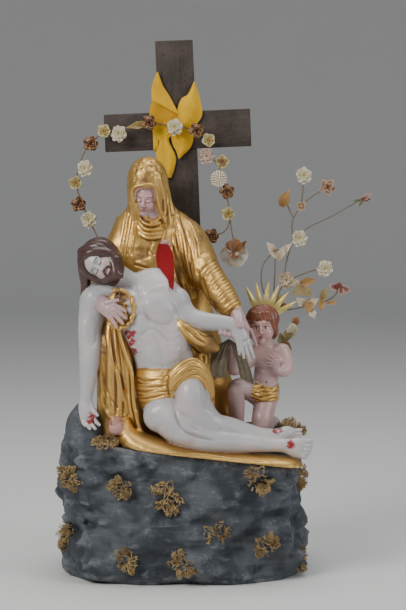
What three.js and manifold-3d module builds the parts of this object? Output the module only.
// A devotional pieta group on a painted rock: a seated woman in a gilt mantle holds a dead man across her
// lap, a kneeling putto beside them holds up a cloth, and a plain cross with a yellow scarf stands behind.
// A wire garland of made flowers hangs round the cross, a wired bouquet stands behind the putto, and tufts
// of dried moss are stuck on the rock. Millimetres, +Z up, front towards -Y, origin at the middle of the
// rock's underside.

import * as THREE from "three";
import { mergeVertices } from "three/addons/utils/BufferGeometryUtils.js";
import Module from "manifold-3d";

// Driving sizes
const ROCK_WIDTH = 244;
const ROCK_DEPTH = 176;
const TERRACE_HEIGHT = 128; // of the sloping top that the carved group stands on, at its middle
const TERRACE_FALL = 6.6; // degrees that the terrace falls towards the right
const PUTTO_STEP_RISE = 15; // of the putto's step over the middle of the terrace
const GROUP_HEIGHT = 292; // terrace to the top of the veil
const PUTTO_HEIGHT = 130; // step to the top of the hair
const CROSS_WIDTH = 39; // of each board
const CROSS_THICKNESS = 12;
const CROSS_RISE = 412.5; // terrace to the top of the upright
const CROSS_LEAN = 2.4; // degrees
const BEAM_LENGTH = 152;
const BEAM_BELOW_TOP = 93; // top of the upright to the middle of the beam
const SOCKET_DEPTH = 26; // of the upright in the rock
const FIT_GAP = 0.3; // between pieces that touch
const CROSS_FOOT_X = 5;
const CROSS_Y = 67; // middle of the boards, behind the woman's back
const WIRE_DIAMETER = 1.6;
const GARLAND_WIDTH = 136; // across the wire
const ROSE_DIAMETER = 19;
const FLORET_DIAMETER = 14;
const BERRY_CLUSTER_DIAMETER = 17;
const LEAF_LENGTH = 22;
const BUD_LENGTH = 14;
const MOSS_DIAMETER = 27;
const BOUQUET_RISE = 262; // of the highest bud over the putto's step
const STEM_DEPTH = 16; // of the bouquet's foot in the step
const CLOTH_THICKNESS = 1.2;
const RAY_PLATE_THICKNESS = 1;
const RAY_LENGTH = 43; // from the middle of the putto's head to a tip
const JOIN_TOLERANCE = 1; // slivers that a join leaves are merged within this
const ROCK_TOLERANCE = 1.2;

// Carving grids: the figures are drawn on grids of this height and scaled to their own, and the rock on a
// grid of this width, depth and height
const GROUP_GRID = 292;
const PUTTO_GRID = 130;
const ROCK_GRID = [244, 176, 128];
const PAST = 2 * ROCK_WIDTH; // reach of a cutting block past what it cuts

const FRONT = new THREE.Vector3(0, -1, 0);
const UP = new THREE.Vector3(0, 0, 1);
const wasm = await Module();
wasm.setup();

// Solids: a closed geometry to a manifold and back, joined or cut
function toSolid(geometry) {
  const bare = new THREE.BufferGeometry();
  bare.setAttribute("position", geometry.getAttribute("position"));
  bare.setIndex(geometry.index);
  const merged = mergeVertices(bare, 1e-3);
  return new wasm.Manifold(
    new wasm.Mesh({
      numProp: 3,
      vertProperties: merged.attributes.position.array,
      triVerts: new Uint32Array(merged.index.array),
    }),
  );
}

function toGeometry(solid) {
  const mesh = solid.getMesh();
  const geometry = new THREE.BufferGeometry();
  geometry.setAttribute("position", new THREE.BufferAttribute(mesh.vertProperties, 3));
  geometry.setIndex(new THREE.BufferAttribute(mesh.triVerts, 1));
  geometry.computeVertexNormals();
  return geometry;
}

const merged = (solid, tolerance) => toGeometry(tolerance ? solid.asOriginal().simplify(tolerance) : solid);
const join = (parts, tolerance = 0) => merged(parts.map(toSolid).reduce((a, b) => a.add(b)), tolerance);
const cut = (body, tools, tolerance = 0) =>
  merged(tools.reduce((left, tool) => left.subtract(toSolid(tool)), toSolid(body)), tolerance);

// A closed skin over rings of points; the first and last rings are closed by a pole each
function skin(rings, firstPole, lastPole) {
  const sides = rings[0].length;
  const points = [firstPole, ...rings.flat(), lastPole];
  const index = [];
  const at = (ring, side) => 1 + ring * sides + (side % sides);
  const last = points.length - 1;
  for (let k = 0; k < sides; k++) {
    index.push(0, at(0, k), at(0, k + 1));
    for (let i = 0; i + 1 < rings.length; i++) {
      index.push(at(i, k), at(i + 1, k), at(i + 1, k + 1));
      index.push(at(i, k), at(i + 1, k + 1), at(i, k + 1));
    }
    index.push(last, at(rings.length - 1, k + 1), at(rings.length - 1, k));
  }
  const geometry = new THREE.BufferGeometry().setFromPoints(points);
  geometry.setIndex(index);
  return geometry;
}

// A limb, fold or body along a spine of stations [x, y, z, half width, half depth]. The half width lies
// across the spine as seen from the front, the half depth towards the viewer. Flutes run along the spine
// and ribs across it, each as a share of the radius.
function limb(stations, options = {}) {
  const {
    sides = 8,
    steps = stations.length - 1,
    flutes = 0,
    fluteDepth = 0,
    ribs = 0,
    ribDepth = 0,
    tip = 0.7,
    capRings = false,
    front = FRONT,
  } = options;
  const spine = new THREE.CatmullRomCurve3(stations.map(([x, y, z]) => new THREE.Vector3(x, y, z)));
  const sizes = new THREE.CatmullRomCurve3(stations.map(([, , , a, b]) => new THREE.Vector3(a, b, 0)));
  const ringAt = (t, grow, shift) => {
    const tangent = spine.getTangent(t);
    const side = new THREE.Vector3().crossVectors(tangent, front).normalize();
    const depth = new THREE.Vector3().crossVectors(side, tangent);
    const size = sizes.getPoint(t);
    const centre = spine.getPoint(t).addScaledVector(tangent, shift * Math.min(size.x, size.y));
    const rib = 1 + ribDepth * Math.cos(2 * Math.PI * ribs * t);
    return Array.from({ length: sides }, (_, k) => {
      const angle = (2 * Math.PI * k) / sides;
      const reach = grow * rib * (1 + fluteDepth * Math.cos(flutes * angle));
      return centre
        .clone()
        .addScaledVector(side, size.x * reach * Math.cos(angle))
        .addScaledVector(depth, size.y * reach * Math.sin(angle));
    });
  };
  const pole = (t, shift) => {
    const size = sizes.getPoint(t);
    return spine.getPoint(t).addScaledVector(spine.getTangent(t), shift * Math.min(size.x, size.y));
  };
  const rings = Array.from({ length: steps + 1 }, (_, i) => ringAt(i / steps, 1, 0));
  if (tip > 0 && capRings) {
    rings.unshift(ringAt(0, 0.72, -tip * 0.7));
    rings.push(ringAt(1, 0.72, tip * 0.7));
  }
  return skin(rings, pole(0, -tip), pole(1, tip));
}

// An ellipsoid at a place, with its half sizes and turns in degrees about X, Y and Z
function ball([x, y, z], [a, b, c], { detail = 1, turn = [0, 0, 0] } = {}) {
  const [rx, ry, rz] = turn.map(THREE.MathUtils.degToRad);
  return new THREE.IcosahedronGeometry(1, detail)
    .scale(a, b, c)
    .applyMatrix4(new THREE.Matrix4().makeRotationFromEuler(new THREE.Euler(rx, ry, rz)))
    .translate(x, y, z);
}

// A hand or foot: a palm and a row of digits from the first digit's root to the last one's
function digits(firstRoot, lastRoot, reach, radius, count, bend = [0, 0, 0]) {
  const root = (i) => {
    const share = count > 1 ? i / (count - 1) : 0;
    return firstRoot.map((value, axis) => value + (lastRoot[axis] - value) * share);
  };
  return Array.from({ length: count }, (_, i) => {
    const [x, y, z] = root(i);
    const end = [x + reach[0] + bend[0], y + reach[1] + bend[1], z + reach[2] + bend[2]];
    return limb(
      [
        [x, y, z, radius, radius],
        [...end, radius * 0.85, radius * 0.85],
      ],
      { sides: 4, tip: 0.6 },
    );
  });
}

// Carved group, drawn on a grid of GROUP_GRID with z = 0 at the middle of the terrace
function veilAndMantle() {
  const cloak = limb(
    [
      [-38, 1, 286, 13, 14],
      [-38, 0, 277, 20, 22],
      [-38, -1, 264, 24, 25],
      [-37, 1, 247, 25, 24],
      [-36, 5, 233, 30, 21],
      [-34, 8, 220, 43, 22],
      [-32, 10, 196, 49, 24],
      [-28, 11, 150, 53, 26],
      [-22, 10, 90, 60, 28],
      [-14, 9, 40, 66, 30],
      [-10, 8, -20, 70, 31],
    ],
    { sides: 24, flutes: 12, fluteDepth: 0.04, tip: 0.4 },
  );
  const faceOpening = ball([-40, -27, 250], [15, 13, 19], { turn: [20, 0, 0] });
  const neckOpening = ball([-32, -24, 222], [14, 10, 16], { turn: [10, 0, 0] });
  return cut(cloak, [faceOpening, neckOpening]);
}

function womanHeadAndChest() {
  const parts = [
    ball([-39, -9, 257], [15.5, 18, 21], { turn: [20, 0, 0] }),
    limb([[-41, -27, 257, 2, 2], [-41, -30, 250, 2.8, 2.4]], { sides: 5 }), // nose
    limb([[-32, -2, 215, 12, 11], [-37, -5, 245, 10, 10]], { sides: 10 }), // neck
    limb(
      [
        [-22, 4, 100, 40, 26],
        [-26, 2, 150, 35, 25],
        [-32, 0, 195, 36, 23],
        [-33, 0, 216, 30, 19],
      ],
      { sides: 12 },
    ),
  ];
  const COWL_FOLDS = 4;
  const COWL_SPACING = 7.5;
  for (let i = 0; i < COWL_FOLDS; i++) {
    const drop = i * COWL_SPACING;
    const spread = 15 + i * 1.5;
    parts.push(
      limb(
        [
          [-32 - spread, -14, 229 - drop * 0.8, 2.6, 2.6],
          [-32 - spread * 0.6, -21, 217 - drop, 3, 3],
          [-31, -23.5, 212 - drop, 3.2, 3.2],
          [-32 + spread * 0.6, -21, 217 - drop, 3, 3],
          [-32 + spread, -14, 229 - drop * 0.8, 2.6, 2.6],
        ],
        { sides: 5 },
      ),
    );
  }
  return parts;
}

function mantleFolds() {
  const parts = [];
  // The mantle's front edges beside the chest
  parts.push(
    limb([[-59, -10, 250, 4, 5], [-57, -17, 226, 4, 4], [-60, -20, 196, 5, 5], [-63, -24, 160, 6, 6]]),
  );
  parts.push(limb([[-16, -12, 250, 4, 5], [-14, -18, 226, 4, 5], [-8, -24, 190, 5, 5], [6, -42, 148, 5, 5]]));
  // Long folds from the left shoulder down to the lap
  const LONG_FOLDS = 4;
  for (let i = 0; i < LONG_FOLDS; i++) {
    const share = i / (LONG_FOLDS - 1);
    parts.push(
      limb(
        [
          [-8 + 18 * share, -10 + 8 * share, 232 - 6 * share, 3.5, 4],
          [-2 + 20 * share, -20 + 8 * share, 196, 4.5, 5],
          [6 + 14 * share, -32 + 6 * share, 166, 4.5, 5],
          [12 + 9 * share, -46 + 4 * share, 138, 3.5, 4],
        ],
        { sides: 5 },
      ),
    );
  }
  return parts;
}

function womanArms() {
  const mantleOverArm = limb(
    [
      [-4, 8, 220, 17, 18],
      [9, 2, 208, 20, 20],
      [18, -6, 190, 21, 21],
      [24, -16, 172, 18, 20],
    ],
    { sides: 12, flutes: 6, fluteDepth: 0.05 },
  );
  const sleeve = limb(
    [
      [22, -16, 184, 13, 14],
      [32, -24, 167, 15, 15],
      [42, -34, 151, 15.5, 15],
      [52, -44, 138, 10.5, 10],
    ],
    { sides: 8, steps: 8, ribs: 4, ribDepth: 0.06, tip: 0.3 },
  );
  const farArm = limb(
    [
      [-60, 8, 222, 20, 18],
      [-74, 4, 204, 18, 18],
      [-84, -6, 178, 16, 17],
      [-84, -30, 156, 13, 14],
    ],
    { sides: 8 },
  );
  const nearHand = [
    limb([[52, -44, 140, 6, 6], [56, -50, 128, 6.5, 5.5], [61, -53, 119, 6, 5]], { sides: 7 }),
    ...digits([60, -53, 122], [64, -51, 124], [5, -6, -24], 2.4, 2),
  ];
  const farHand = [
    ball([-71, -76, 144], [11, 5, 8], { turn: [0, 25, 0] }),
    ...digits([-66, -79, 149], [-71, -79, 136], [13, 0, -7], 2.5, 4, [2, 3, -1]),
    limb([[-74, -76, 150, 3, 3], [-67, -79, 155, 2.6, 2.6], [-61, -77, 155, 2, 2]], { sides: 5 }),
  ];
  const clothUnderHand = limb(
    [
      [-69, -66, 160, 5, 6],
      [-56, -72, 156, 6, 7],
      [-51, -72, 142, 6, 7],
      [-56, -72, 130, 7, 7],
      [-68, -68, 122, 9, 8],
    ],
    { sides: 7 },
  );
  return [mantleOverArm, sleeve, farArm, clothUnderHand, ...nearHand, ...farHand];
}

function lapAndDress() {
  const parts = [
    limb([[-34, 10, 92, 26, 24], [-54, -18, 100, 24, 22], [-66, -44, 100, 19, 19]], { sides: 9 }),
    limb([[-2, 10, 96, 24, 24], [8, -18, 104, 20, 20], [13, -40, 104, 16, 18]], { sides: 9 }),
    // The dress over the right shin, in deep upright folds
    limb(
      [
        [-68, -56, 128, 15, 13],
        [-68, -55, 100, 19, 15],
        [-67, -56, 66, 20, 16],
        [-66, -58, 36, 18, 15],
        [-62, -60, 0, 20, 16],
      ],
      { sides: 18, flutes: 9, fluteDepth: 0.1, tip: 0.4 },
    ),
    // The dress over the left shin
    limb(
      [
        [12, -40, 112, 15, 14],
        [12, -42, 80, 15, 14],
        [11, -40, 40, 15, 14],
        [11, -38, -20, 16, 16],
      ],
      { sides: 12, flutes: 6, fluteDepth: 0.09, tip: 0.4 },
    ),
    // Toe of the shoe below the dress
    limb([[-66, -62, 32, 7, 6], [-68, -76, 28, 7.5, 5.5], [-68, -84, 26, 5, 4]], { sides: 8, front: UP }),
    // The bunch of cloth pulled up under the left arm
    limb([[-8, -52, 128, 5, 6], [6, -54, 116, 9, 9], [18, -54, 109, 11, 9], [30, -48, 106, 6, 7]], {
      sides: 8,
    }),
  ];
  return parts;
}

function deadMan() {
  const torso = limb(
    [
      [-22, -58, 56, 31, 22],
      [-19, -60, 86, 30, 19.5],
      [-28, -60, 122, 31, 21],
      [-42, -57, 150, 38, 20],
      [-50, -50, 167, 33, 15],
    ],
    { sides: 12, steps: 6 },
  );
  const rightArm = limb(
    [
      [-78, -54, 158, 16, 14],
      [-92, -57, 148, 14, 13],
      [-95, -62, 122, 11, 11],
      [-96, -66, 98, 9.5, 10],
      [-97, -70, 72, 9.5, 9],
      [-99, -75, 50, 6, 6],
    ],
    { sides: 8 },
  );
  const rightHand = [
    limb([[-99, -74, 54, 5.5, 5.5], [-97, -77, 44, 8, 5], [-94, -79, 33, 7.5, 5]], { sides: 8 }),
    ...digits([-98, -80, 33], [-89, -80, 36], [5, -1, -8], 2.2, 4, [2, 3, -1]),
  ];
  const leftArm = limb(
    [
      [-22, -54, 160, 14, 14],
      [-8, -58, 152, 12, 12],
      [6, -62, 138, 10, 10],
      [20, -63, 130, 9.5, 9.5],
      [38, -63, 127, 8, 8],
      [52, -64, 121, 6, 6],
    ],
    { sides: 8 },
  );
  const leftHand = [
    ball([57, -66, 112], [6.5, 5, 9], { turn: [0, -25, 0] }),
    ...digits([54, -67, 106], [64, -65, 110], [5, -1, -14], 2.3, 4),
  ];
  const head = [
    ball([-84, -66, 187], [21, 19, 17], { turn: [0, 23, 0] }),
    limb([[-87, -83, 188, 2, 2], [-80, -86.5, 185, 2.6, 2.4]], { sides: 5, front: UP }), // nose
    limb([[-78, -56, 184, 11, 11], [-58, -52, 168, 12, 12]], { sides: 10 }), // neck
  ];
  return [torso, rightArm, leftArm, ...rightHand, ...leftHand, ...head];
}

function hairAndBeard() {
  const cap = ball([-86, -58, 190], [24, 21, 22], { turn: [0, 23, 0] });
  const fallingLock = limb(
    [
      [-101, -56, 196, 8, 10],
      [-106, -54, 176, 8, 9],
      [-105, -50, 150, 5, 7],
      [-104, -46, 130, 3, 4],
    ],
    { sides: 8, flutes: 4, fluteDepth: 0.12 },
  );
  const beard = limb([[-80, -70, 172, 8, 9], [-68, -76, 170, 10, 9], [-63, -74, 164, 5, 5]], { sides: 8 });
  return [cap, fallingLock, beard];
}

function legsAndCloths() {
  const rightLeg = limb(
    [
      [-30, -66, 50, 21, 20],
      [-18, -78, 38, 21, 19],
      [-4, -86, 25, 18, 16],
      [18, -88, 16, 12, 12],
      [45, -86, 12, 10, 10],
      [71, -83, 9.5, 8.5, 9],
      [98, -80, 8, 7, 7.5],
      [110, -82, 6, 11, 7],
      [117, -83, 5, 11.5, 5],
    ],
    { sides: 8, steps: 9 },
  );
  const leftLeg = limb(
    [
      [-12, -62, 62, 18, 18],
      [3, -74, 62, 17, 17],
      [14, -80, 56, 16.5, 16],
      [27, -80, 38, 14, 14],
      [45, -77, 25, 11.5, 12],
      [71, -73, 16, 9.5, 10],
      [90, -69, 12, 7, 8],
      [104, -66, 14, 9, 7],
    ],
    { sides: 8, steps: 5 },
  );
  const toes = [
    ...digits([117, -84, 14], [114, -84, -4], [6, 0, 0], 2.5, 5),
    ...digits([105, -67, 20], [105, -67, 10], [5, 0, 1], 2.2, 3),
  ];
  const loincloth = limb(
    [
      [-25, -62, 50, 33, 24],
      [-20, -63, 66, 34, 25],
      [-14, -62, 84, 33, 23],
    ],
    { sides: 12, steps: 6, ribs: 3, ribDepth: 0.03, tip: 0.05 },
  );
  const loinclothEnd = limb(
    [
      [-24, -86, 54, 7, 4],
      [-12, -88, 66, 9, 5],
      [0, -86, 78, 10, 6],
      [10, -76, 88, 8, 8],
    ],
    { sides: 8 },
  );
  const shroud = limb(
    [
      [-54, -72, 14, 14, 24],
      [-30, -78, 2, 14, 26],
      [10, -80, -2, 10, 25],
      [60, -78, -7, 9, 23],
      [112, -76, -12, 9, 20],
    ],
    { sides: 12, flutes: 6, fluteDepth: 0.06, steps: 6 },
  );
  return [rightLeg, leftLeg, ...toes, loincloth, loinclothEnd, shroud];
}

function slopingBlock(low, high) {
  return new THREE.BoxGeometry(PAST, PAST, high - low)
    .translate(0, 0, (high + low) / 2)
    .applyMatrix4(new THREE.Matrix4().makeRotationY(THREE.MathUtils.degToRad(TERRACE_FALL)));
}

function carvedGroup() {
  const parts = [
    veilAndMantle(),
    ...womanHeadAndChest(),
    ...mantleFolds(),
    ...womanArms(),
    ...lapAndDress(),
    ...deadMan(),
    ...hairAndBeard(),
    ...legsAndCloths(),
  ];
  const scale = GROUP_HEIGHT / GROUP_GRID;
  return cut(join(parts, JOIN_TOLERANCE).scale(scale, scale, scale), [slopingBlock(-PAST, FIT_GAP)]);
}

// Putto, drawn on a grid of PUTTO_GRID with z = 0 at its step
const HAIR_BACK = 19 / PUTTO_GRID;
const HEAD_RISE = 107 / PUTTO_GRID;
function puttoFigure() {
  const parts = [
    ball([-3, -3, 106], [15.5, 17, 20]),
    ball([-3, 1, 112], [17.5, 18.5, 18.5]), // hair
    limb([[-5, -18.5, 107, 1.5, 1.5], [-5, -21.5, 101, 2.2, 2]], { sides: 5 }), // nose
    limb([[2, 0, 78, 9, 9], [0, 0, 94, 9, 9]], { sides: 8 }), // neck
    limb(
      [
        [-1, 0, 36, 14, 13.5],
        [0, -1, 50, 13, 14],
        [2, 0, 66, 15, 12.5],
        [3, 0, 79, 14.5, 10],
      ],
      { sides: 10 },
    ),
    // Left arm, bent with its hand on the breast
    limb(
      [
        [15, 0, 80, 8.5, 8.5],
        [19, -3, 70, 7.8, 8],
        [19, -9, 62, 7.5, 7.5],
        [12, -15, 62, 5.5, 5.5],
        [6, -16, 67, 4.5, 4],
      ],
      { sides: 8, steps: 5 },
    ),
    ...digits([6, -17, 64], [8, -16, 70], [-6, 0, 2], 2, 3),
    // Right arm, reaching out with its fist raised
    limb(
      [
        [-10, -2, 79, 9, 8],
        [-24, -10, 64, 7.5, 7],
        [-34, -18, 60, 6.5, 6.5],
        [-36, -25, 72, 5.5, 5.5],
        [-36, -28, 84, 4.5, 4.5],
      ],
      { sides: 8, steps: 5 },
    ),
    ball([-36, -29, 87], [5, 5, 5.5]),
    // Loincloth
    limb(
      [
        [-3, 0, 30, 16, 16],
        [-3, 0, 39, 16.5, 16],
        [-2, 0, 48, 14.5, 15],
      ],
      { sides: 10, steps: 6, ribs: 3, ribDepth: 0.04, tip: 0.1 },
    ),
    // Right leg with its knee raised, and the left leg kneeling
    limb(
      [
        [-8, 2, 32, 12, 13],
        [-23, -12, 42, 11.5, 12],
        [-32, -18, 40, 10.5, 10.5],
        [-31, -14, 18, 9, 9],
        [-30, -12, -4, 7.5, 7],
      ],
      { sides: 8, steps: 6 },
    ),
    limb(
      [
        [1, 2, 34, 12, 13],
        [-4, -8, 14, 11, 12],
        [-5, -9, 3, 9.5, 11],
        [4, 14, 3, 8, 9],
        [8, 28, 3, 6, 7],
      ],
      { sides: 8, steps: 6 },
    ),
  ];
  const scale = PUTTO_HEIGHT / PUTTO_GRID;
  const floor = new THREE.BoxGeometry(PAST, PAST, PAST).translate(0, 0, FIT_GAP - PAST / 2);
  return cut(join(parts, JOIN_TOLERANCE).scale(scale, scale, scale), [floor]);
}

// Ray plate behind the putto's head: a fan of points round an arc
function rayPlate() {
  const RAYS = 6;
  const first = THREE.MathUtils.degToRad(115);
  const step = THREE.MathUtils.degToRad(-16.4);
  const inner = RAY_LENGTH * 0.5;
  const hub = RAY_LENGTH * 0.3;
  const shape = new THREE.Shape();
  shape.moveTo(hub * Math.cos(first - step / 2), hub * Math.sin(first - step / 2));
  for (let i = 0; i < RAYS; i++) {
    const angle = first + step * i;
    shape.lineTo(inner * Math.cos(angle - step / 2), inner * Math.sin(angle - step / 2));
    shape.lineTo(RAY_LENGTH * Math.cos(angle), RAY_LENGTH * Math.sin(angle));
  }
  const last = first + step * (RAYS - 0.5);
  shape.lineTo(inner * Math.cos(last), inner * Math.sin(last));
  shape.lineTo(hub * Math.cos(last), hub * Math.sin(last));
  return new THREE.ExtrudeGeometry(shape, { depth: RAY_PLATE_THICKNESS, bevelEnabled: false }).rotateX(
    Math.PI / 2,
  );
}

// The putto's cloth, tented over his raised fist
function puttoCloth() {
  const half = CLOTH_THICKNESS / 2;
  const flap = (stations) => limb(stations, { sides: 4, tip: 0 });
  const leftFlap = flap([
    [-34, -29, 95, 4, half],
    [-44, -36, 85, 8, half],
    [-48, -38, 72, 9, half],
    [-47, -38, 57, 8.5, half],
  ]);
  const rightFlap = flap([
    [-38, -29, 95, 4, half],
    [-27, -34, 83, 6, half],
    [-22, -34, 69, 8, half],
    [-17, -32, 52, 7, half],
  ]);
  const scale = PUTTO_HEIGHT / PUTTO_GRID;
  return join([leftFlap, rightFlap]).scale(scale, scale, scale);
}

// Cross: two boards halved into each other, standing in a socket
function crossUpright() {
  const length = CROSS_RISE + SOCKET_DEPTH;
  const middle = CROSS_RISE - length / 2;
  const notch = new THREE.BoxGeometry(CROSS_WIDTH * 2, CROSS_THICKNESS, CROSS_WIDTH + 2 * FIT_GAP);
  notch.translate(0, -CROSS_THICKNESS / 2, CROSS_RISE - BEAM_BELOW_TOP);
  return cut(new THREE.BoxGeometry(CROSS_WIDTH, CROSS_THICKNESS, length).translate(0, 0, middle), [notch]);
}

function crossBeam() {
  const notch = new THREE.BoxGeometry(CROSS_WIDTH + 2 * FIT_GAP, CROSS_THICKNESS, CROSS_WIDTH * 2);
  notch.translate(0, CROSS_THICKNESS / 2 - FIT_GAP, 0);
  return cut(new THREE.BoxGeometry(BEAM_LENGTH, CROSS_THICKNESS, CROSS_WIDTH), [notch]);
}

function crossSocket() {
  const boardRoom = [CROSS_WIDTH + 2 * FIT_GAP, CROSS_THICKNESS + 2 * FIT_GAP, PAST];
  return new THREE.BoxGeometry(...boardRoom).translate(0, 0, PAST / 2 - SOCKET_DEPTH - FIT_GAP);
}

// Yellow scarf tied round the beam, its ends standing and hanging in front; the frame is the crossing
const SCARF_FRONT = -CROSS_THICKNESS / 2 - FIT_GAP - CLOTH_THICKNESS;
const KNOT_RISE = 7;

function scarf() {
  const half = CLOTH_THICKNESS / 2;
  const y = SCARF_FRONT;
  const lobe = (stations) => limb(stations, { sides: 4, steps: 4, tip: 0.2 });
  const lobes = [
    lobe([
      [-3, y, 0, 9, half],
      [-12, y - 2, 24, 12, half],
      [-19, y - 3, 42, 8, half],
      [-21, y - 2, 59, 1.5, half],
    ]),
    lobe([
      [-3, y, 0, 9, half],
      [12, y - 2, 14, 13, half],
      [19, y - 3, 30, 9, half],
      [17, y - 2, 50, 1.5, half],
    ]),
    lobe([
      [2, y, 0, 9, half],
      [-12, y - 2, 4, 15, half],
      [-24, y - 1, 6, 14, half],
      [-30, y, 6, 8, half],
    ]),
    lobe([
      [-3, y, 0, 9, half],
      [-10, y - 3, -20, 13, half],
      [-11, y - 3, -38, 9, half],
      [-8, y - 2, -60, 2, half],
    ]),
    lobe([[-3, y, 0, 9, half], [7, y - 3, -14, 12, half], [3, y - 3, -32, 2, half]]),
    ball([-5, y - 3, 1], [14, 4, 11]), // knot
  ];
  const inner = new THREE.Vector2(CROSS_THICKNESS / 2 + FIT_GAP, CROSS_WIDTH / 2 + FIT_GAP);
  const outer = inner.clone().addScalar(CLOTH_THICKNESS);
  const rectangle = (size) => [
    new THREE.Vector2(-size.x, -size.y),
    new THREE.Vector2(size.x, -size.y),
    new THREE.Vector2(size.x, size.y),
    new THREE.Vector2(-size.x, size.y),
  ];
  const BAND_WIDTH = 12;
  const section = new THREE.Shape(rectangle(outer));
  section.holes.push(new THREE.Path(rectangle(inner)));
  const band = new THREE.ExtrudeGeometry(section, { depth: BAND_WIDTH, bevelEnabled: false })
    .applyMatrix4(new THREE.Matrix4().makeBasis(new THREE.Vector3(0, 1, 0), UP, new THREE.Vector3(1, 0, 0)))
    .translate(-CROSS_WIDTH / 2 - BAND_WIDTH - 1, 0, 0);
  return join([band, ...lobes], CLOTH_THICKNESS / 3);
}

// Red ribbon pinned at the woman's breast, on the group's grid
function redRibbon() {
  const half = CLOTH_THICKNESS / 2;
  const scale = GROUP_HEIGHT / GROUP_GRID;
  return limb(
    [
      [-23, -28, 208, 4, half],
      [-20, -37, 195, 9, half],
      [-15, -54, 180, 10, half],
      [-11, -68, 168, 8, half],
      [-9, -71, 156, 1.5, half],
    ],
    { sides: 4, steps: 5, tip: 0 },
  ).scale(scale, scale, scale);
}

// A round wire along a smooth curve
function wire(points, steps) {
  const SIDES = 4;
  const outline = Array.from({ length: SIDES }, (_, k) => {
    const angle = (2 * Math.PI * k) / SIDES;
    return new THREE.Vector2(Math.cos(angle), Math.sin(angle)).multiplyScalar(WIRE_DIAMETER / 2);
  });
  return new THREE.ExtrudeGeometry(new THREE.Shape(outline), {
    steps,
    extrudePath: new THREE.CatmullRomCurve3(points.map((point) => new THREE.Vector3(...point))),
  });
}

// Made flowers, leaves and buds: each faces the viewer with its back at y = 0
function rosette(diameter, petals, lobing, rise) {
  const sides = petals * 2;
  const ring = (share, y) =>
    Array.from({ length: sides }, (_, k) => {
      const angle = (-2 * Math.PI * k) / sides;
      const reach = (diameter / 2) * share * (k % 2 ? 1 : 1 - lobing);
      return new THREE.Vector3(reach * Math.cos(angle), y, reach * Math.sin(angle));
    });
  const rings = [ring(0.5, 0), ring(1, -rise * 0.45), ring(0.55, -rise * 0.9)];
  return skin(rings, new THREE.Vector3(0, 0, 0), new THREE.Vector3(0, -rise, 0));
}

const rose = () => rosette(ROSE_DIAMETER, 5, 0.12, ROSE_DIAMETER * 0.45);
const floret = () => rosette(FLORET_DIAMETER, 5, 0.4, FLORET_DIAMETER * 0.3);
const berries = () => rosette(BERRY_CLUSTER_DIAMETER, 4, 0.25, BERRY_CLUSTER_DIAMETER * 0.5);

const LEAF_CURL = 2.5;
const LEAF_THICKNESS = 1.2;

function leaf(length, width) {
  const half = LEAF_THICKNESS / 2;
  return limb(
    [
      [0, -half, -length / 2, width * 0.15, half],
      [0, -half - LEAF_CURL, -length / 6, width / 2, half],
      [0, -half - LEAF_CURL, length / 6, width / 2, half],
      [0, -half, length / 2, width * 0.1, half],
    ],
    { sides: 4, tip: 0 },
  );
}

const bud = () => {
  const depth = BUD_LENGTH * 0.3;
  return ball([0, -depth, 0], [depth, depth, BUD_LENGTH / 2], { detail: 0 });
};

function shellFlower() {
  return join(
    [
      ball([-10, -5, -6], [9, 4, 10], { detail: 0 }),
      ball([5, -5, -9], [11, 4, 12]),
      ball([2, -6, 6], [10, 5, 10], { detail: 0, turn: [0, 30, 0] }),
    ],
    JOIN_TOLERANCE,
  );
}

// Rock
const RIGHT_REACH = 0.95; // of the rock's right side, against its left
const rockScale = [ROCK_WIDTH / ROCK_GRID[0], ROCK_DEPTH / ROCK_GRID[1], TERRACE_HEIGHT / ROCK_GRID[2]];
const ripple = (angle, z) =>
  0.028 * Math.sin(3 * angle + z / 19) +
  0.024 * Math.sin(7 * angle - z / 11) +
  0.018 * Math.sin(11 * angle + z / 7);

function rockBlock() {
  const SIDES = 26;
  const LEVELS = [0, 7, 26, 48, 70, 92, 112, 160];
  const swell = [0.95, 1.01, 1.03, 1.0, 0.985, 1.0, 1.0, 0.9];
  const CORNER = 0.72; // below 1, the plan is squarer than an ellipse
  const squared = (value) => Math.sign(value) * Math.abs(value) ** CORNER;
  const rings = LEVELS.map((z, i) =>
    Array.from({ length: SIDES }, (_, k) => {
      const angle = (-2 * Math.PI * k) / SIDES;
      const reach = swell[i] * (1 + (i ? ripple(angle, z) : 0));
      const across = squared(Math.cos(angle)) * (Math.cos(angle) > 0 ? RIGHT_REACH : 1);
      return new THREE.Vector3(
        (ROCK_GRID[0] / 2) * reach * across,
        (ROCK_GRID[1] / 2) * reach * squared(Math.sin(angle)),
        z,
      );
    }),
  );
  const poleZ = LEVELS[LEVELS.length - 1];
  return skin(rings, new THREE.Vector3(0, 0, 0), new THREE.Vector3(0, 0, poleZ)).scale(...rockScale);
}

const GROUP_Y = 17; // the group's own middle, behind the rock's
const PUTTO_Y = 8;
const PUTTO_PLACE = [ROCK_WIDTH * 0.34, PUTTO_Y];
const STEP_HEIGHT = TERRACE_HEIGHT + PUTTO_STEP_RISE;

// A boulder: an ellipsoid made squarer and lumpy
function boulder([x, y, z], [a, b, c], turn = 0) {
  const geometry = new THREE.IcosahedronGeometry(1, 1);
  const position = geometry.getAttribute("position");
  const SQUARENESS = 0.75;
  const squared = (value) => Math.sign(value) * Math.abs(value) ** SQUARENESS;
  for (let i = 0; i < position.count; i++) {
    const [u, v, w] = [position.getX(i), position.getY(i), position.getZ(i)];
    const lump = 1 + 0.07 * Math.sin(3 * u + x / 17) * Math.sin(3 * v + y / 13) * Math.sin(4 * w + z / 11);
    position.setXYZ(i, a * lump * squared(u), b * lump * squared(v), c * lump * squared(w));
  }
  return geometry.rotateZ(THREE.MathUtils.degToRad(turn)).translate(x, y, z);
}

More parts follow.
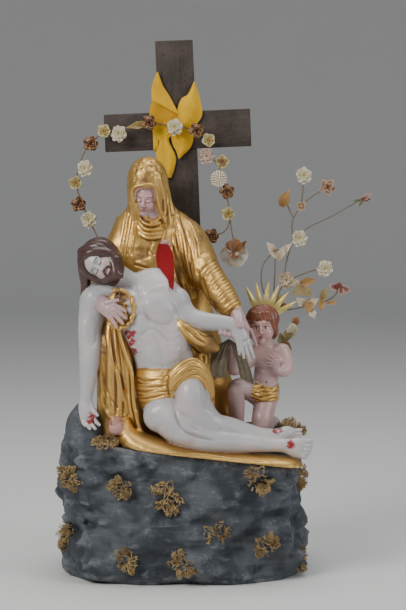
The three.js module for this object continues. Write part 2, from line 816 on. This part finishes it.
function rock() {
  const terrace = cut(rockBlock(), [slopingBlock(0, PAST).translate(0, 0, TERRACE_HEIGHT)]);
  const lobes = [
    boulder([-101, -22, 108], [24, 54, 64], 6),
    boulder([-88, 40, 98], [34, 44, 60], -12),
    boulder([86, 56, 82], [40, 30, 54], 14),
  ].map((lobe) => lobe.scale(...rockScale));
  const step = cut(boulder([78, 18, 99], [44, 52, 64]).scale(...rockScale), [
    new THREE.BoxGeometry(PAST, PAST, PAST).translate(0, 0, STEP_HEIGHT + PAST / 2),
  ]);
  return join([terrace, ...lobes, step], ROCK_TOLERANCE);
}

// Scene graph
const paint = (color, roughness, metalness = 0) =>
  new THREE.MeshStandardMaterial({ color, roughness, metalness });
const GILT = paint(0xb98d3c, 0.4, 0.8);
const FLESH = paint(0xb9a2a0, 0.5);
const ROCK_PAINT = paint(0x4b535c, 0.7);
const DARK_WOOD = paint(0x3a2c27, 0.7);
const YELLOW_SILK = paint(0xd9a223, 0.6);
const RED_SILK = paint(0x8b0a12, 0.7);
const LINEN = paint(0x6f6654, 0.9);
const WIRE = paint(0x4f3f30, 0.5, 0.6);
const CREAM = paint(0xe2d3ae, 0.7);
const BROWN = paint(0x6a4022, 0.6);
const STRAW = paint(0xb9a55c, 0.6);
const MOSS = paint(0x8a6b3c, 0.95);

const statue = new THREE.Group();

function piece(name, geometry, material, parent = statue) {
  const mesh = new THREE.Mesh(geometry, material);
  mesh.name = name;
  parent.add(mesh);
  return mesh;
}

// Cuts a mesh back to the fit gap from a neighbour, whose skin is grown by that gap
function fitTo(mesh, neighbour) {
  statue.updateMatrixWorld(true);
  const grown = neighbour.geometry.clone();
  const position = grown.getAttribute("position");
  const normal = grown.getAttribute("normal");
  for (let i = 0; i < position.count; i++) {
    position.setXYZ(
      i,
      position.getX(i) + normal.getX(i) * FIT_GAP,
      position.getY(i) + normal.getY(i) * FIT_GAP,
      position.getZ(i) + normal.getZ(i) * FIT_GAP,
    );
  }
  const across = mesh.matrixWorld.clone().invert().multiply(neighbour.matrixWorld);
  const relieved = cut(mesh.geometry, [grown.applyMatrix4(across)], FIT_GAP / 4);
  mesh.geometry = cut(relieved, [neighbour.geometry.clone().applyMatrix4(across)]);
}

// A named turn about the line of sight, in degrees, for a flower or leaf
const turned = (mesh, degrees) => {
  mesh.rotation.y = THREE.MathUtils.degToRad(degrees);
  return mesh;
};

const rockMesh = piece("rock_base", rock(), ROCK_PAINT);

const groupPlace = new THREE.Group();
groupPlace.position.set(0, GROUP_Y, TERRACE_HEIGHT);
statue.add(groupPlace);
const groupMesh = piece("pieta_group", carvedGroup(), GILT, groupPlace);
fitTo(piece("red_ribbon", redRibbon(), RED_SILK, groupPlace), groupMesh);

const puttoPlace = new THREE.Group();
puttoPlace.position.set(...PUTTO_PLACE, STEP_HEIGHT);
statue.add(puttoPlace);
const puttoMesh = piece("putto", puttoFigure(), FLESH, puttoPlace);
const rays = piece("putto_ray_crown", rayPlate(), GILT, puttoPlace);
rays.position.set(-3.5, HAIR_BACK * PUTTO_HEIGHT + FIT_GAP + RAY_PLATE_THICKNESS, HEAD_RISE * PUTTO_HEIGHT);
const puttoClothMesh = piece("putto_cloth", puttoCloth(), LINEN, puttoPlace);
[puttoMesh, groupMesh].forEach((neighbour) => fitTo(puttoClothMesh, neighbour));

const crossPlace = new THREE.Group();
crossPlace.position.set(CROSS_FOOT_X, CROSS_Y, TERRACE_HEIGHT);
crossPlace.rotation.y = THREE.MathUtils.degToRad(-CROSS_LEAN);
statue.add(crossPlace);
const crossing = new THREE.Group();
crossing.position.z = CROSS_RISE - BEAM_BELOW_TOP;
crossPlace.add(crossing);
piece("cross_upright", crossUpright(), DARK_WOOD, crossPlace);
piece("cross_beam", crossBeam(), DARK_WOOD, crossing);
piece("yellow_scarf", scarf(), YELLOW_SILK, crossing);

statue.updateMatrixWorld(true);
rockMesh.geometry = cut(rockMesh.geometry, [crossSocket().applyMatrix4(crossPlace.matrixWorld)]);

// Garland: a wire hung on the scarf's knot, with its places measured from the crossing and as shares of
// its width; x to the right, z up
const garland = new THREE.Group();
garland.position.y = SCARF_FRONT - KNOT_RISE - FIT_GAP - WIRE_DIAMETER / 2;
crossing.add(garland);
const onGarland = ([x, z]) => [x * GARLAND_WIDTH, 0, z * GARLAND_WIDTH];
const GARLAND_RUN = [
  [-0.64, -0.8],
  [-0.705, -0.64],
  [-0.76, -0.5],
  [-0.785, -0.36],
  [-0.755, -0.22],
  [-0.68, -0.09],
  [-0.555, 0.01],
  [-0.43, 0.015],
  [-0.21, 0.06],
  [-0.018, 0.03],
  [0.15, -0.01],
  [0.225, -0.1],
  [0.25, -0.2],
  [0.305, -0.3],
  [0.325, -0.4],
  [0.355, -0.5],
  [0.37, -0.66],
  [0.38, -0.78],
  [0.4, -0.9],
];
const GARLAND_BRANCH = [
  [0.372, -0.7],
  [0.33, -0.78],
  [0.25, -0.81],
];
piece(
  "garland_wire",
  join([wire(GARLAND_RUN.map(onGarland), 36), wire(GARLAND_BRANCH.map(onGarland), 4)]),
  WIRE,
  garland,
);

const BEFORE_WIRE = -WIRE_DIAMETER / 2 - FIT_GAP;
function dress(parent, name, make, material, places) {
  places.forEach(([x, y, z, turn = 0], i) => {
    const mesh = turned(piece(places.length > 1 ? `${name}_${i + 1}` : name, make(), material, parent), turn);
    mesh.position.set(x, y + BEFORE_WIRE, z);
  });
}
const alongGarland = (places) => places.map(([x, z, turn]) => [...onGarland([x, z]), turn]);
const BEHIND_WIRE = LEAF_CURL + LEAF_THICKNESS + WIRE_DIAMETER + 2 * FIT_GAP;
dress(garland, "garland_rose", rose, CREAM, alongGarland([
  [-0.704, -0.647, 0],
  [-0.715, -0.257, 20],
  [-0.445, -0.006, 40],
  [-0.018, 0.027, 10],
  [0.213, -0.203, 30],
  [0.299, -0.378, 50],
]));
dress(garland, "garland_berries", berries, BROWN, alongGarland([
  [-0.772, -0.529, 0],
  [-0.659, -0.075, 15],
  [-0.209, 0.066, 30],
  [0.147, -0.011, 45],
  [0.358, -0.482, 60],
  [0.228, -0.814, 20],
]));
dress(garland, "garland_floret", floret, STRAW, alongGarland([
  [-0.789, -0.365, 0],
  [-0.555, 0.018, 20],
  [0.235, -0.085, 40],
  [0.331, -0.256, 60],
  [0.36, -0.65, 10],
]));
const leafPlace = [-0.31 * GARLAND_WIDTH, BEHIND_WIRE, 0.05 * GARLAND_WIDTH, 80];
dress(garland, "garland_leaf", () => leaf(LEAF_LENGTH * 1.2, LEAF_LENGTH * 0.35), STRAW, [leafPlace]);
dress(garland, "shell_flower", shellFlower, BROWN, alongGarland([[0.401, -0.944, 0]]));

// Bouquet: wires from a hole in the putto's step, places as shares of its rise, x from its foot
const BOUQUET_BEHIND = 34; // of its foot behind the putto's middle
const BOUQUET_ASIDE = 2;
const BOUQUET_FOOT = [PUTTO_PLACE[0] + BOUQUET_ASIDE, PUTTO_Y + BOUQUET_BEHIND, STEP_HEIGHT];
const bouquet = new THREE.Group();
bouquet.position.set(...BOUQUET_FOOT);
statue.add(bouquet);
const onBouquet = ([x, z]) => [x * BOUQUET_RISE, 0, z * BOUQUET_RISE];
const BOUQUET_STEMS = [
  [
    [0, -STEM_DEPTH / BOUQUET_RISE],
    [-0.01, 0.25],
    [0.02, 0.45],
    [0.06, 0.56],
    [0.074, 0.644],
    [0.1, 0.72],
    [0.153, 0.775],
    [0.243, 0.819],
    [0.378, 0.896],
  ],
  [[0.02, 0.45], [-0.019, 0.534], [-0.022, 0.621], [0.02, 0.68], [0.06, 0.695]],
  [[0.02, 0.45], [0.028, 0.597], [0.03, 0.68]],
  [[0.1, 0.72], [0.097, 0.8], [0.131, 0.863], [0.18, 0.905], [0.236, 0.938]],
  [[0.131, 0.863], [0.137, 0.92], [0.141, 0.985]],
  [[0.099, 0.82], [0.08, 0.86], [0.069, 0.903]],
  [[0.06, 0.56], [0.15, 0.6], [0.226, 0.619]],
  [[0.02, 0.45], [0.09, 0.455], [0.155, 0.468], [0.223, 0.485], [0.26, 0.505], [0.283, 0.539]],
  [[-0.01, 0.25], [0.035, 0.295], [0.066, 0.328], [0.105, 0.383]],
];
const stems = BOUQUET_STEMS.map((stem) => wire(stem.map(onBouquet), (stem.length - 1) * 2));
const bouquetWires = piece("bouquet_wires", join(stems), WIRE, bouquet);
fitTo(rockMesh, bouquetWires);
fitTo(rockMesh, groupMesh);
const onStems = (places) => places.map(([x, z, turn]) => [...onBouquet([x, z]), turn]);
dress(bouquet, "bouquet_rose", rose, CREAM, onStems([
  [0.141, 0.985, 0],
  [0.125, 0.737, 20],
  [0.226, 0.619, 40],
  [0.073, 0.573, 10],
]));
dress(bouquet, "bouquet_leaf", () => leaf(LEAF_LENGTH, LEAF_LENGTH * 0.5), STRAW, onStems([
  [0.069, 0.903, 15],
  [0.043, 0.691, 50],
  [0.05, 0.48, 30],
  [0.135, 0.545, -20],
  [0.223, 0.496, 15],
  [0.062, 0.323, 20],
  [0.155, 0.468, 70],
  [0.105, 0.386, 0],
]));
dress(bouquet, "bouquet_bud", bud, STRAW, onStems([
  [0.236, 0.938, 60],
  [0.131, 0.863, 20],
  [0.378, 0.896, 70],
  [0.283, 0.539, 120],
]));

// Moss: lumpy tufts stuck where a line of sight meets the rock, at x and z or at x and y of its grid
const MOSS_ON_FRONT = [
  [-112, 104],
  [-64, 95],
  [-17, 89],
  [72, 104],
  [112, 97],
  [-118, 41],
  [31, 53],
  [80, 41],
  [-58, 26],
  [-3, 23],
  [112, 20],
];
const MOSS_ON_TOP = [
  [109, 0],
  [-78, -70],
];
const MOSS_RISE = 0.3; // of a tuft's middle off the rock, as a share of its radius

function mossTuft(place, normal) {
  const radius = MOSS_DIAMETER / 2;
  const geometry = new THREE.SphereGeometry(radius, 6, 4).rotateX(Math.PI / 2);
  const position = geometry.getAttribute("position");
  for (let i = 0; i < position.count; i++) {
    const [u, v, w] = [position.getX(i), position.getY(i), position.getZ(i)];
    const lump = 1 + 0.16 * Math.sin(u + place.x) * Math.sin(v + place.z) + 0.1 * Math.sin(w * 1.7 + place.x);
    position.setXYZ(i, u * lump, v * lump, w * lump * 0.7);
  }
  const flat = new THREE.Quaternion().setFromUnitVectors(UP, normal);
  return geometry
    .applyQuaternion(flat)
    .translate(...place.clone().addScaledVector(normal, MOSS_RISE * radius).toArray());
}

const sight = new THREE.Raycaster();
statue.updateMatrixWorld(true);
const onRock = (x, y, z) => new THREE.Vector3(x * rockScale[0], y * rockScale[1], z * rockScale[2]);
const fromFront = ([x, z]) => [onRock(x, -2 * ROCK_GRID[1], z), FRONT.clone().negate()];
const fromTop = ([x, y]) => [onRock(x, y, 2 * ROCK_GRID[2]), UP.clone().negate()];
[...MOSS_ON_FRONT.map(fromFront), ...MOSS_ON_TOP.map(fromTop)].forEach(([start, direction], i) => {
  sight.set(start, direction);
  const [hit] = sight.intersectObject(rockMesh);
  const tuft = piece(`moss_${String(i + 1).padStart(2, "0")}`, mossTuft(hit.point, hit.face.normal), MOSS);
  [rockMesh, groupMesh, puttoMesh].forEach((neighbour) => fitTo(tuft, neighbour));
});

export default statue;
